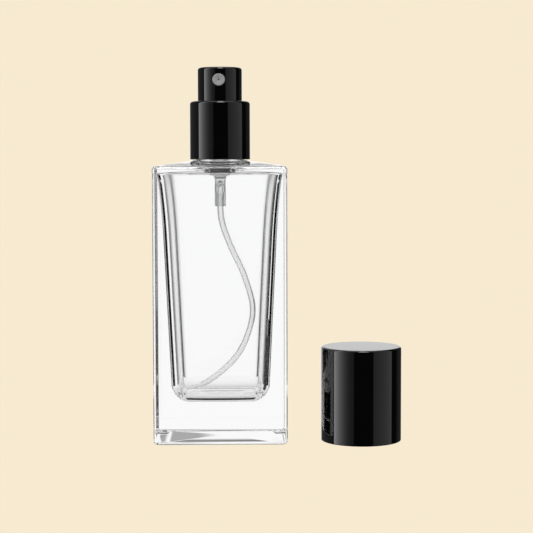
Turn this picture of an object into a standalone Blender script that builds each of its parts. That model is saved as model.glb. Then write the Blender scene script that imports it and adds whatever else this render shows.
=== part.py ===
"""Rectangular glass spray bottle for aftershave, with a crimped pump and a cap that stands beside it.

The frame: +Z is up, the origin is on the table under the middle of the bottle, the nozzle faces -Y and the
cap stands on the +X side. All sizes are in metres.
"""

import math

import bmesh
import bpy
from mathutils import Vector

MM = 0.001
MERGE = 0.000001

# Gaps between neighbours
FIT_GAP = 0.15 * MM
REST_GAP = 0.30 * MM

# Facets around the axis
RING_POINTS = 32
LARGE_STEPS = 32
SMALL_STEPS = 20
WIRE_RESOLUTION = 2
ARC_STEPS = 4

# Glass body, outside
BODY_WIDTH = 39.3 * MM
BODY_DEPTH = 37.0 * MM
BODY_CORNER = 1.6 * MM
BODY_EDGE = 1.2 * MM
SHOULDER_Z = 81.8 * MM
FOOT_WIDTH = 1.8 * MM
PANEL_RISE = 0.5 * MM
PANEL_SLOPE = 1.2 * MM

# Glass neck, a crimp finish with a 15 mm bead
NECK_ROOT_RADIUS = 9.0 * MM
NECK_ROOT_Z = 83.1 * MM
NECK_RADIUS = 6.3 * MM
BEAD_RADIUS = 7.4 * MM
BEAD_BOTTOM_Z = 87.4 * MM
MOUTH_Z = 91.2 * MM
BORE_RADIUS = 4.4 * MM

# Cavity in the glass
CAVITY_FLOOR_Z = 12.3 * MM
CAVITY_FLOOR_FILLET = 4.0 * MM
CAVITY_CORNER = 4.5 * MM
CAVITY_HALF_WIDTH = 14.4 * MM
CAVITY_HALF_DEPTH = 12.5 * MM
CAVITY_TAPER_X = 0.0483
CAVITY_TAPER_Y = 0.0350
FLARE_START_Z = 60.0 * MM
FLARE_END_Z = 80.0 * MM
FLARE_X = 0.9 * MM
FLARE_Y = 0.5 * MM
CAVITY_TOP_Z = 79.8 * MM
CAVITY_TOP_FILLET = 1.5 * MM

# Gasket, pump flange, turret and ferrule, stacked on the glass mouth
GASKET_RADIUS = 6.9 * MM
GASKET_HEIGHT = 0.8 * MM
FLANGE_RADIUS = 6.9 * MM
FLANGE_HEIGHT = 0.8 * MM
TURRET_RADIUS = 6.9 * MM
TURRET_HEIGHT = 0.7 * MM
TURRET_BOSS_RADIUS = 3.2 * MM
TURRET_BOSS_HEIGHT = 3.0 * MM
TURRET_PLUG_DEPTH = 1.6 * MM
SEAL_WIDTH = 0.65 * MM
SEAL_HEIGHT = 1.0 * MM
SEAL_RISE = 0.3 * MM
SEAL_GAP = 0.08 * MM
FERRULE_WALL = 0.35 * MM
FERRULE_BOTTOM_Z = 86.2 * MM

# Pump housing
HOUSING_RADIUS = 3.15 * MM
CHAMBER_RADIUS = 2.45 * MM
CHAMBER_FLOOR_Z = 78.9 * MM
HOUSING_FOOT_Z = 78.2 * MM
NOSE_RADIUS = 1.65 * MM
NOSE_TOP_Z = 76.9 * MM
NOSE_BOTTOM_Z = 69.15 * MM
BALL_WELL_RADIUS = 1.25 * MM
BALL_SEAT_TOP_Z = 75.5 * MM
BALL_SEAT_BOTTOM_Z = 74.8 * MM
THROAT_RADIUS = 0.6 * MM
TUBE_STOP_Z = 73.3 * MM
BALL_RADIUS = 0.95 * MM

# Dip tube
TUBE_RADIUS = 0.925 * MM
TUBE_WALL = 0.30 * MM
TUBE_STEP = 3.6 * MM
TUBE_ROUTE = (
    (0.0, 73.0),
    (0.0, 69.0),
    (0.6, 64.0),
    (3.2, 57.0),
    (7.1, 48.5),
    (9.8, 39.0),
    (8.5, 31.4),
    (4.5, 23.7),
    (-2.5, 17.3),
    (-8.8, 13.9),
)

# Moving pieces of the pump
STROKE = 4.6 * MM
STEM_RADIUS = 1.5 * MM
STEM_BORE = 0.8 * MM
STEM_FLANGE_RADIUS = 2.25 * MM
STEM_FLANGE_HEIGHT = 0.5 * MM
STEM_TOP_Z = 105.0 * MM
PISTON_HEIGHT = 1.8 * MM
PISTON_RADIUS = 2.35 * MM
PISTON_BORE = 1.2 * MM
PRELOAD_LENGTH = 1.6 * MM
PRELOAD_WIRE = 0.12 * MM
PRELOAD_TURNS = 3
CORE_FLANGE_RADIUS = 2.1 * MM
CORE_FLANGE_HEIGHT = 0.8 * MM
CORE_SHANK_RADIUS = 1.05 * MM
CORE_SPIGOT_RADIUS = 0.65 * MM
CORE_SPIGOT_LENGTH = 3.0 * MM
SPRING_WIRE = 0.2 * MM
SPRING_RADIUS = 1.95 * MM
SPRING_TURNS = 5

# Collar
COLLAR_RADIUS = 9.05 * MM
COLLAR_WALL = 0.75 * MM
COLLAR_BOTTOM_Z = 83.55 * MM
COLLAR_TOP_Z = 100.95 * MM
COLLAR_FILLET = 0.9 * MM
COLLAR_ROOF = 0.9 * MM

# Push button
BUTTON_RADIUS = 6.65 * MM
BUTTON_WALL = 0.6 * MM
BUTTON_TOP_Z = 111.0 * MM
BUTTON_FILLET = 0.8 * MM
BUTTON_ROOF = 0.8 * MM
BUTTON_TURN = math.radians(-2.75)
CORE_BOTTOM_Z = 102.4 * MM
SOCKET_RADIUS = 1.65 * MM
NOZZLE_Z = 107.2 * MM
NOZZLE_RADIUS = 1.9 * MM
NOZZLE_LENGTH = 2.2 * MM
NOZZLE_RECESS = 0.15 * MM
ORIFICE_RADIUS = 0.3 * MM

# Cap
CAP_X = 41.8 * MM
CAP_Y = -10.2 * MM
CAP_RADIUS = 11.95 * MM
CAP_HEIGHT = 28.1 * MM
CAP_FILLET = 0.7 * MM
CAP_WALL = 0.9 * MM
CAP_ROOF = 0.9 * MM
LINER_RADIUS = 9.35 * MM
LINER_RIM = 0.8 * MM
LINER_TOP_GAP = 1.0 * MM


# ---------------------------------------------------------------- derived levels

GASKET_Z = MOUTH_Z + FIT_GAP
FLANGE_Z = GASKET_Z + GASKET_HEIGHT + FIT_GAP
TURRET_Z = FLANGE_Z + FLANGE_HEIGHT + FIT_GAP
FERRULE_ROOF_Z = TURRET_Z + TURRET_HEIGHT + FIT_GAP
FERRULE_INNER_RADIUS = BEAD_RADIUS + FIT_GAP
FERRULE_RADIUS = FERRULE_INNER_RADIUS + FERRULE_WALL
TURRET_PLUG_Z = TURRET_Z - TURRET_PLUG_DEPTH
BUTTON_BOTTOM_Z = FERRULE_ROOF_Z + FERRULE_WALL + FIT_GAP + STROKE
STEM_HOLE_RADIUS = STEM_RADIUS + 0.12 * MM
GROOVE_RADIUS = STEM_HOLE_RADIUS + SEAL_WIDTH
GROOVE_BOTTOM_Z = TURRET_Z + SEAL_RISE
GROOVE_TOP_Z = GROOVE_BOTTOM_Z + SEAL_HEIGHT
STEM_BOTTOM_Z = TURRET_PLUG_Z - FIT_GAP - STEM_FLANGE_HEIGHT
PRELOAD_TOP_Z = STEM_BOTTOM_Z - FIT_GAP / 2
PISTON_TOP_Z = PRELOAD_TOP_Z - PRELOAD_LENGTH - FIT_GAP / 2
PISTON_BOTTOM_Z = PISTON_TOP_Z - PISTON_HEIGHT
CORE_FLANGE_TOP_Z = PISTON_BOTTOM_Z - FIT_GAP
CORE_FLANGE_BOTTOM_Z = CORE_FLANGE_TOP_Z - CORE_FLANGE_HEIGHT
SPRING_BOTTOM_Z = CHAMBER_FLOOR_Z + FIT_GAP / 2
SPRING_TOP_Z = CORE_FLANGE_BOTTOM_Z - FIT_GAP / 2


# ---------------------------------------------------------------- tools


def clear_scene():
    for item in list(bpy.data.objects):
        bpy.data.objects.remove(item)


def new_collection(name):
    made = bpy.data.collections.new(name)
    bpy.context.scene.collection.children.link(made)
    return made


def new_material(name, colour, roughness, metallic=0.0, transmission=0.0, ior=1.5):
    made = bpy.data.materials.new(name)
    made.use_nodes = True
    shader = made.node_tree.nodes["Principled BSDF"]
    shader.inputs["Base Color"].default_value = (*colour, 1.0)
    shader.inputs["Roughness"].default_value = roughness
    shader.inputs["Metallic"].default_value = metallic
    shader.inputs["Transmission Weight"].default_value = transmission
    shader.inputs["IOR"].default_value = ior
    return made


def new_empty(name, location, turn, collection):
    made = bpy.data.objects.new(name, None)
    made.location = location
    made.rotation_euler = (0.0, 0.0, turn)
    made.empty_display_size = 5 * MM
    collection.objects.link(made)
    return made


def place(name, data, collection, material=None, parent=None):
    made = bpy.data.objects.new(name, data)
    made.parent = parent
    if material:
        data.materials.append(material)
    collection.objects.link(made)
    return made


def arc(centre_radius, centre_z, radius, start, end, steps=ARC_STEPS):
    """Points (radius, z) of a circular arc, with its angles in degrees counted from the +radius direction."""
    points = []
    for i in range(steps + 1):
        angle = math.radians(start + (end - start) * i / steps)
        points.append((centre_radius + radius * math.cos(angle), centre_z + radius * math.sin(angle)))
    return points


def turned(name, profile, collection, material, parent=None, steps=LARGE_STEPS, closed=True):
    """A turned piece. The profile runs down the outer side and up the inner side, as (radius, z) points.

    A closed profile joins its last point to its first; an open one starts and ends on the axis.
    """
    mesh = bpy.data.meshes.new(name)
    points = [(radius, 0.0, z) for radius, z in profile]
    edges = [(i, i + 1) for i in range(len(points) - 1)]
    if closed:
        edges.append((len(points) - 1, 0))
    mesh.from_pydata(points, edges, [])
    piece = place(name, mesh, collection, material, parent)
    screw = piece.modifiers.new("Turn", "SCREW")
    screw.axis = "Z"
    screw.angle = math.tau
    screw.steps = steps
    screw.render_steps = steps
    screw.use_merge_vertices = True
    screw.merge_threshold = MERGE
    screw.use_normal_calculate = False
    screw.use_smooth_shade = True
    return piece


def cut(piece, cutter):
    modifier = piece.modifiers.new("Cut " + cutter.name, "BOOLEAN")
    modifier.operation = "DIFFERENCE"
    modifier.solver = "EXACT"
    modifier.object = cutter


def rounded_rectangle(half_x, half_y, corner, z):
    """RING_POINTS points counter-clockwise around a rectangle with round corners, or around a circle.

    The points stand at the middle of equal steps of angle, so a circle's points are evenly spaced too.
    """
    per_corner = RING_POINTS // 4
    ring = []
    for quarter in range(4):
        side_x = 1 if quarter in (0, 3) else -1
        side_y = 1 if quarter in (0, 1) else -1
        for i in range(per_corner):
            angle = math.radians(90 * quarter + 90 * (i + 0.5) / per_corner)
            x = side_x * (half_x - corner) + corner * math.cos(angle)
            y = side_y * (half_y - corner) + corner * math.sin(angle)
            ring.append(Vector((x, y, z)))
    return ring


def circle(radius, z):
    return rounded_rectangle(radius, radius, radius, z)


def loft(name, rings, collection, material):
    """A closed skin through the rings, from the first to the last, with a flat face on each of those two."""
    mesh = bpy.data.meshes.new(name)
    skin = bmesh.new()
    rows = [[skin.verts.new(point) for point in ring] for ring in rings]
    for lower, upper in zip(rows, rows[1:]):
        for i in range(RING_POINTS):
            j = (i + 1) % RING_POINTS
            skin.faces.new((lower[i], lower[j], upper[j], upper[i]))
    skin.faces.new(reversed(rows[0]))
    skin.faces.new(rows[-1])
    skin.to_mesh(mesh)
    skin.free()
    mesh.shade_smooth()
    mesh.set_sharp_from_angle(angle=math.radians(35))
    return place(name, mesh, collection, material)


def wire_curve(name, points, radius, collection, material, capped=True):
    """A round wire or tube along a row of straight steps."""
    curve = bpy.data.curves.new(name, "CURVE")
    curve.dimensions = "3D"
    curve.bevel_depth = radius
    curve.bevel_resolution = WIRE_RESOLUTION
    curve.use_fill_caps = capped
    spline = curve.splines.new("POLY")
    spline.points.add(len(points) - 1)
    for point, place_at in zip(spline.points, points):
        point.co = (*place_at, 1.0)
    return place(name, curve, collection, material)


def coil_points(radius, bottom, top, turns, wire, per_turn=14):
    """A coil spring's centre line: a flat turn at each end and an even rise between them."""
    low = bottom + wire
    high = top - wire
    total = turns * per_turn
    points = []
    for i in range(total + 1):
        angle = math.tau * i / per_turn
        share = min(max((i - per_turn * 0.75) / (total - per_turn * 1.5), 0.0), 1.0)
        lift = 2.2 * wire
        z = low + lift * min(i / (per_turn * 0.75), 1.0)
        z += (high - low - 2 * lift) * share
        z += lift * max(0.0, (i - (total - per_turn * 0.75)) / (per_turn * 0.75))
        points.append((radius * math.cos(angle), radius * math.sin(angle), z))
    return points


def smooth_route(corners, step):
    """Points about a step apart on a Catmull-Rom curve through the corners."""
    padded = [2 * corners[0] - corners[1], *corners, 2 * corners[-1] - corners[-2]]
    points = [corners[0]]
    for before, start, end, after in zip(padded, padded[1:], padded[2:], padded[3:]):
        count = max(1, round((end - start).length / step))
        for i in range(1, count + 1):
            t = i / count
            bend = 2 * before - 5 * start + 4 * end - after
            twist = 3 * start - before - 3 * end + after
            points.append(0.5 * (2 * start + (end - before) * t + bend * t**2 + twist * t**3))
    return points


# ---------------------------------------------------------------- glass


def body_rings():
    """The outside of the body, from the base panel up to the root of the neck."""
    half_x = BODY_WIDTH / 2
    half_y = BODY_DEPTH / 2
    foot_inset = BODY_EDGE + FOOT_WIDTH
    panel_inset = foot_inset + PANEL_SLOPE
    rings = [
        rounded_rectangle(half_x - panel_inset, half_y - panel_inset, BODY_CORNER, PANEL_RISE),
        rounded_rectangle(half_x - foot_inset, half_y - foot_inset, BODY_CORNER, 0.0),
    ]
    for inset, z in arc(0.0, 0.0, BODY_EDGE, -90, 0):
        side = inset - BODY_EDGE
        rings.append(rounded_rectangle(half_x + side, half_y + side, BODY_CORNER, z + BODY_EDGE))
    for inset, z in arc(0.0, 0.0, BODY_EDGE, 0, 90):
        side = inset - BODY_EDGE
        rings.append(rounded_rectangle(half_x + side, half_y + side, BODY_CORNER, z + SHOULDER_Z - BODY_EDGE))
    edge = rounded_rectangle(half_x - BODY_EDGE, half_y - BODY_EDGE, BODY_CORNER, SHOULDER_Z)
    root = circle(NECK_ROOT_RADIUS, NECK_ROOT_Z)
    for share in (0.35, 0.7):
        rings.append([a.lerp(b, share) for a, b in zip(edge, root)])
    rings.append(root)
    return rings


def neck_rings():
    """The neck, up its outside, over the mouth and down the bore."""
    profile = [
        (NECK_RADIUS + 1.0 * MM, NECK_ROOT_Z + 0.3 * MM),
        (NECK_RADIUS, NECK_ROOT_Z + 1.2 * MM),
        (NECK_RADIUS, BEAD_BOTTOM_Z - 0.5 * MM),
        (BEAD_RADIUS, BEAD_BOTTOM_Z + 0.4 * MM),
        (BEAD_RADIUS, MOUTH_Z - 0.7 * MM),
        (BEAD_RADIUS - 0.6 * MM, MOUTH_Z),
        (BORE_RADIUS + 0.3 * MM, MOUTH_Z),
        (BORE_RADIUS, MOUTH_Z - 0.3 * MM),
        (BORE_RADIUS, CAVITY_TOP_Z + 2.6 * MM),
        (BORE_RADIUS + 0.9 * MM, CAVITY_TOP_Z + 1.2 * MM),
        (BORE_RADIUS + 2.6 * MM, CAVITY_TOP_Z + 0.5 * MM),
    ]
    return [circle(radius, z) for radius, z in profile]


def cavity_half_sizes(z):
    """The cavity's half width and half depth: a straight taper, with a flare below the shoulder."""
    flare = max(0.0, (z - FLARE_START_Z) / (FLARE_END_Z - FLARE_START_Z)) ** 2
    half_x = CAVITY_HALF_WIDTH + CAVITY_TAPER_X * (z - CAVITY_FLOOR_Z) + FLARE_X * flare
    half_y = CAVITY_HALF_DEPTH + CAVITY_TAPER_Y * (z - CAVITY_FLOOR_Z) + FLARE_Y * flare
    return half_x, half_y


def cavity_rings():
    """The cavity, from the shoulder down to its floor."""
    rings = []
    top_x, top_y = cavity_half_sizes(CAVITY_TOP_Z)
    fillet = CAVITY_TOP_FILLET
    for inset, z in arc(0.0, 0.0, fillet, 90, 0):
        side = inset - fillet
        rings.append(rounded_rectangle(top_x + side, top_y + side, CAVITY_CORNER, CAVITY_TOP_Z - fillet + z))
    wall_levels = 6
    top = CAVITY_TOP_Z - fillet
    bottom = CAVITY_FLOOR_Z + CAVITY_FLOOR_FILLET
    for i in range(1, wall_levels + 1):
        z = top + (bottom - top) * i / wall_levels
        rings.append(rounded_rectangle(*cavity_half_sizes(z), CAVITY_CORNER, z))
    low_x, low_y = cavity_half_sizes(bottom)
    for inset, z in arc(0.0, 0.0, CAVITY_FLOOR_FILLET, 0, -90, 6)[1:]:
        side = inset - CAVITY_FLOOR_FILLET
        rings.append(rounded_rectangle(low_x + side, low_y + side, CAVITY_CORNER + side * 0.8, bottom + z))
    return rings


def make_bottle(parts, material):
    loft("bottle_glass", body_rings() + neck_rings() + cavity_rings(), parts, material)


# ---------------------------------------------------------------- fixed pieces of the pump


def make_gasket(parts, material):
    top = GASKET_Z + GASKET_HEIGHT
    profile = [
        (GASKET_RADIUS, top),
        (GASKET_RADIUS, GASKET_Z),
        (HOUSING_RADIUS + FIT_GAP, GASKET_Z),
        (HOUSING_RADIUS + FIT_GAP, top),
    ]
    turned("neck_gasket", profile, parts, material)


def make_housing(parts, material):
    """Flange, cylinder, cone and nose, with the piston chamber, the ball well and the tube socket inside."""
    top = FLANGE_Z + FLANGE_HEIGHT
    socket = TUBE_RADIUS + 0.08 * MM
    profile = [
        (FLANGE_RADIUS, top),
        (FLANGE_RADIUS, FLANGE_Z),
        (HOUSING_RADIUS, FLANGE_Z),
        (HOUSING_RADIUS, HOUSING_FOOT_Z),
        (HOUSING_RADIUS - 0.85 * MM, HOUSING_FOOT_Z - 0.3 * MM),
        (NOSE_RADIUS + 0.1 * MM, NOSE_TOP_Z + 0.3 * MM),
        (NOSE_RADIUS, NOSE_TOP_Z),
        (NOSE_RADIUS, NOSE_BOTTOM_Z),
        (socket, NOSE_BOTTOM_Z),
        (socket, TUBE_STOP_Z),
        (THROAT_RADIUS, TUBE_STOP_Z),
        (THROAT_RADIUS, BALL_SEAT_BOTTOM_Z),
        (BALL_WELL_RADIUS, BALL_SEAT_TOP_Z),
        (BALL_WELL_RADIUS, CHAMBER_FLOOR_Z),
        (CHAMBER_RADIUS, CHAMBER_FLOOR_Z),
        (CHAMBER_RADIUS, top),
    ]
    turned("pump_housing", profile, parts, material, steps=24)


def make_turret(parts, material):
    """A flange over the housing, a plug in the chamber and a boss around the stem, with a seal groove."""
    flange_top = TURRET_Z + TURRET_HEIGHT
    boss_top = flange_top + TURRET_BOSS_HEIGHT
    chamfer = 0.4 * MM
    plug = CHAMBER_RADIUS - 0.1 * MM
    profile = [
        (TURRET_BOSS_RADIUS - chamfer, boss_top),
        (TURRET_BOSS_RADIUS, boss_top - chamfer),
        (TURRET_BOSS_RADIUS, flange_top),
        (TURRET_RADIUS, flange_top),
        (TURRET_RADIUS, TURRET_Z),
        (plug, TURRET_Z),
        (plug, TURRET_PLUG_Z),
        (STEM_HOLE_RADIUS, TURRET_PLUG_Z),
        (STEM_HOLE_RADIUS, GROOVE_BOTTOM_Z),
        (GROOVE_RADIUS, GROOVE_BOTTOM_Z),
        (GROOVE_RADIUS, GROOVE_TOP_Z),
        (STEM_HOLE_RADIUS, GROOVE_TOP_Z),
        (STEM_HOLE_RADIUS, boss_top),
    ]
    turned("turret", profile, parts, material, steps=24)


def make_stem_gasket(parts, material):
    """A square-section ring in the turret's groove, just clear of the stem."""
    outer = GROOVE_RADIUS - SEAL_GAP
    inner = STEM_RADIUS + SEAL_GAP
    top = GROOVE_TOP_Z - SEAL_GAP
    bottom = GROOVE_BOTTOM_Z + SEAL_GAP
    profile = [(outer, top), (outer, bottom), (inner, bottom), (inner, top)]
    turned("stem_gasket", profile, parts, material, steps=24)


def make_ferrule(parts, material):
    """An aluminium cup over the stack, with its skirt turned in under the bead of the neck."""
    outer = FERRULE_RADIUS
    inner = FERRULE_INNER_RADIUS
    roof_top = FERRULE_ROOF_Z + FERRULE_WALL
    hole = TURRET_BOSS_RADIUS + FIT_GAP
    lip = NECK_RADIUS + REST_GAP
    profile = [
        (outer - 0.5 * MM, roof_top),
        (outer, roof_top - 0.5 * MM),
        (outer, FERRULE_BOTTOM_Z + 0.6 * MM),
        (lip + 0.3 * MM, FERRULE_BOTTOM_Z),
        (lip, FERRULE_BOTTOM_Z + 0.25 * MM),
        (inner - 0.1 * MM, FERRULE_BOTTOM_Z + 0.95 * MM),
        (inner, FERRULE_BOTTOM_Z + 1.2 * MM),
        (inner, FERRULE_ROOF_Z - 0.2 * MM),
        (inner - 0.2 * MM, FERRULE_ROOF_Z),
        (hole, FERRULE_ROOF_Z),
        (hole, roof_top),
    ]
    turned("crimp_ferrule", profile, parts, material)


def make_collar(parts, material):
    """The sleeve around the ferrule, with a roof that leaves a round hole for the button."""
    inner = COLLAR_RADIUS - COLLAR_WALL
    hole = BUTTON_RADIUS + REST_GAP
    centre = COLLAR_RADIUS - COLLAR_FILLET
    profile = [(hole, COLLAR_TOP_Z)]
    profile += arc(centre, COLLAR_TOP_Z - COLLAR_FILLET, COLLAR_FILLET, 90, 0)
    profile += [
        (COLLAR_RADIUS, COLLAR_BOTTOM_Z),
        (inner, COLLAR_BOTTOM_Z),
        (inner, COLLAR_TOP_Z - COLLAR_ROOF),
        (hole, COLLAR_TOP_Z - COLLAR_ROOF),
    ]
    turned("collar", profile, parts, material)


def make_dip_tube(parts, material):
    corners = [Vector((x * MM, 0.0, z * MM)) for x, z in TUBE_ROUTE]
    route = smooth_route(corners, TUBE_STEP)
    tube = wire_curve("dip_tube", route, TUBE_RADIUS, parts, material, capped=False)
    wall = tube.modifiers.new("Wall", "SOLIDIFY")
    wall.thickness = TUBE_WALL
    wall.offset = -1.0


# ---------------------------------------------------------------- moving pieces of the pump


def make_inlet_ball(parts, material):
    """The ball rests a hair above its conical seat."""
    slope = math.atan2(BALL_SEAT_TOP_Z - BALL_SEAT_BOTTOM_Z, BALL_WELL_RADIUS - THROAT_RADIUS)
    tip_z = BALL_SEAT_BOTTOM_Z - THROAT_RADIUS * math.tan(slope)
    height = tip_z + BALL_RADIUS / math.cos(slope) + 0.05 * MM
    place_at = (0.0, 0.0, height)
    bpy.ops.mesh.primitive_uv_sphere_add(segments=14, ring_count=8, radius=BALL_RADIUS, location=place_at)
    ball = bpy.context.object
    ball.name = "inlet_ball"
    ball.data.name = "inlet_ball"
    for collection in list(ball.users_collection):
        collection.objects.unlink(ball)
    parts.objects.link(ball)
    ball.data.materials.append(material)
    ball.data.shade_smooth()


def make_return_spring(parts, material):
    points = coil_points(SPRING_RADIUS, SPRING_BOTTOM_Z, SPRING_TOP_Z, SPRING_TURNS, SPRING_WIRE)
    wire_curve("return_spring", points, SPRING_WIRE, parts, material)


def make_preload_spring(parts, material):
    bottom = PRELOAD_TOP_Z - PRELOAD_LENGTH
    points = coil_points(1.6 * MM, bottom, PRELOAD_TOP_Z, PRELOAD_TURNS, PRELOAD_WIRE, per_turn=12)
    wire_curve("preload_spring", points, PRELOAD_WIRE, parts, material)


def make_valve_core(parts, material, axis):
    """A flanged pin: the flange carries the piston and takes the spring, the spigot plugs into the stem."""
    shank_top = STEM_BOTTOM_Z - 0.05 * MM
    top = shank_top + CORE_SPIGOT_LENGTH
    profile = [
        (0.0, top),
        (CORE_SPIGOT_RADIUS, top),
        (CORE_SPIGOT_RADIUS, shank_top),
        (CORE_SHANK_RADIUS, shank_top),
        (CORE_SHANK_RADIUS, CORE_FLANGE_TOP_Z),
        (CORE_FLANGE_RADIUS, CORE_FLANGE_TOP_Z),
        (CORE_FLANGE_RADIUS, CORE_FLANGE_BOTTOM_Z),
        (0.0, CORE_FLANGE_BOTTOM_Z),
    ]
    turned("valve_core", profile, parts, material, axis, steps=SMALL_STEPS, closed=False)


def make_piston(parts, material, axis):
    """A sealing ring with a thin lip above and below its waist."""
    waist = PISTON_RADIUS - 0.35 * MM
    middle = (PISTON_TOP_Z + PISTON_BOTTOM_Z) / 2
    profile = [
        (PISTON_RADIUS - 0.1 * MM, PISTON_TOP_Z),
        (PISTON_RADIUS, PISTON_TOP_Z - 0.2 * MM),
        (waist, middle + 0.3 * MM),
        (waist, middle - 0.3 * MM),
        (PISTON_RADIUS, PISTON_BOTTOM_Z + 0.2 * MM),
        (PISTON_RADIUS - 0.1 * MM, PISTON_BOTTOM_Z),
        (PISTON_BORE, PISTON_BOTTOM_Z),
        (PISTON_BORE, PISTON_TOP_Z),
    ]
    turned("piston", profile, parts, material, axis, steps=SMALL_STEPS)


def make_stem(parts, material, axis):
    """A tube with a flange at its foot, which the plug of the turret stops at the top of the stroke."""
    flange_top = STEM_BOTTOM_Z + STEM_FLANGE_HEIGHT
    profile = [
        (STEM_RADIUS - 0.2 * MM, STEM_TOP_Z),
        (STEM_RADIUS, STEM_TOP_Z - 0.4 * MM),
        (STEM_RADIUS, flange_top),
        (STEM_FLANGE_RADIUS, flange_top),
        (STEM_FLANGE_RADIUS, STEM_BOTTOM_Z),
        (STEM_BORE, STEM_BOTTOM_Z),
        (STEM_BORE, STEM_TOP_Z),
    ]
    turned("stem", profile, parts, material, axis, steps=SMALL_STEPS)


# ---------------------------------------------------------------- push button


def make_nozzle_cutter(name, radius, depth, cutters, axis):
    """A cylinder that comes in from the nozzle side, to the given depth under the button's side."""
    outside = 1.0 * MM
    mesh = bpy.data.meshes.new(name)
    shape = bmesh.new()
    bmesh.ops.create_cone(
        shape,
        cap_ends=True,
        segments=SMALL_STEPS,
        radius1=radius,
        radius2=radius,
        depth=depth + outside,
    )
    shape.to_mesh(mesh)
    shape.free()
    cutter = place(name, mesh, cutters, parent=axis)
    cutter.location = (0.0, -(BUTTON_RADIUS + outside - (depth + outside) / 2), NOZZLE_Z - BUTTON_BOTTOM_Z)
    cutter.rotation_euler = (math.radians(90), 0.0, 0.0)
    cutter.display_type = "WIRE"
    cutter.hide_render = True
    return cutter


def make_actuator_shell(parts, cutters, material, axis):
    """A thin cup, open below, with a round window for the nozzle."""
    base = BUTTON_BOTTOM_Z
    inner = BUTTON_RADIUS - BUTTON_WALL
    ceiling = BUTTON_TOP_Z - BUTTON_ROOF
    profile = [(0.0, BUTTON_TOP_Z - base)]
    centre = BUTTON_RADIUS - BUTTON_FILLET
    profile += [(r, z - base) for r, z in arc(centre, BUTTON_TOP_Z - BUTTON_FILLET, BUTTON_FILLET, 90, 0)]
    profile += [
        (BUTTON_RADIUS, 0.0),
        (inner, 0.0),
        (inner, ceiling - base),
        (0.0, ceiling - base),
    ]
    shell = turned("actuator_shell", profile, parts, material, axis, closed=False)
    window = make_nozzle_cutter("nozzle_window", NOZZLE_RADIUS + 0.1 * MM, 2.0 * MM, cutters, axis)
    cut(shell, window)


def make_actuator_core(parts, cutters, material, axis):
    """The inner body: a plug in the shell, with the stem's socket below and the nozzle's pocket in front."""
    base = BUTTON_BOTTOM_Z
    outer = BUTTON_RADIUS - BUTTON_WALL - FIT_GAP
    top = BUTTON_TOP_Z - BUTTON_ROOF - FIT_GAP - base
    bottom = CORE_BOTTOM_Z - base
    ceiling = STEM_TOP_Z + FIT_GAP - base
    skirt_inner = outer - 0.8 * MM
    web = bottom + 1.6 * MM
    post = SOCKET_RADIUS + 0.8 * MM
    profile = [
        (0.0, top),
        (outer, top),
        (outer, bottom),
        (skirt_inner, bottom),
        (skirt_inner, web),
        (post, web),
        (post, bottom),
        (SOCKET_RADIUS, bottom),
        (SOCKET_RADIUS, ceiling),
        (0.0, ceiling),
    ]
    core = turned("actuator_core", profile, parts, material, axis, steps=24, closed=False)
    depth = NOZZLE_RECESS + NOZZLE_LENGTH + FIT_GAP
    pocket = make_nozzle_cutter("nozzle_pocket", NOZZLE_RADIUS + 0.12 * MM, depth, cutters, axis)
    cut(core, pocket)
    duct_depth = BUTTON_RADIUS
    duct = make_nozzle_cutter("nozzle_duct", 0.5 * MM, duct_depth, cutters, axis)
    cut(core, duct)


def make_nozzle_insert(parts, material, axis):
    """A short cup with a fine hole in its face, turned about the spray's axis."""
    length = NOZZLE_LENGTH
    profile = [
        (NOZZLE_RADIUS - 0.15 * MM, length),
        (NOZZLE_RADIUS, length - 0.15 * MM),
        (NOZZLE_RADIUS, 0.0),
        (NOZZLE_RADIUS - 0.7 * MM, 0.0),
        (NOZZLE_RADIUS - 0.7 * MM, length - 0.6 * MM),
        (ORIFICE_RADIUS, length - 0.6 * MM),
        (ORIFICE_RADIUS, length - 0.25 * MM),
        (ORIFICE_RADIUS + 0.35 * MM, length),
    ]
    insert = turned("nozzle_insert", profile, parts, material, axis, steps=SMALL_STEPS)
    back = BUTTON_RADIUS - NOZZLE_RECESS - NOZZLE_LENGTH
    insert.location = (0.0, -back, NOZZLE_Z - BUTTON_BOTTOM_Z)
    insert.rotation_euler = (math.radians(90), 0.0, 0.0)


# ---------------------------------------------------------------- cap


def make_cap(parts, shell_material, liner_material, axis):
    centre = CAP_RADIUS - CAP_FILLET
    inner = CAP_RADIUS - CAP_WALL
    ceiling = CAP_HEIGHT - CAP_ROOF
    profile = [(0.0, CAP_HEIGHT)]
    profile += arc(centre, CAP_HEIGHT - CAP_FILLET, CAP_FILLET, 90, 0)
    profile += [
        (CAP_RADIUS, 0.3 * MM),
        (CAP_RADIUS - 0.3 * MM, 0.0),
        (inner, 0.0),
        (inner, ceiling),
        (0.0, ceiling),
    ]
    turned("cap_shell", profile, parts, shell_material, axis, closed=False)
    liner_outer = inner - FIT_GAP
    liner_top = ceiling - LINER_TOP_GAP
    bead_z = 0.25 * CAP_HEIGHT
    liner_profile = [
        (liner_outer, liner_top),
        (liner_outer, LINER_RIM),
        (LINER_RADIUS + 0.5 * MM, LINER_RIM),
        (LINER_RADIUS, LINER_RIM + 0.8 * MM),
        (LINER_RADIUS, bead_z - 0.5 * MM),
        (LINER_RADIUS - 0.2 * MM, bead_z),
        (LINER_RADIUS, bead_z + 0.5 * MM),
        (LINER_RADIUS, liner_top),
    ]
    turned("cap_liner", liner_profile, parts, liner_material, axis)


# ---------------------------------------------------------------- the whole object


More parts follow.
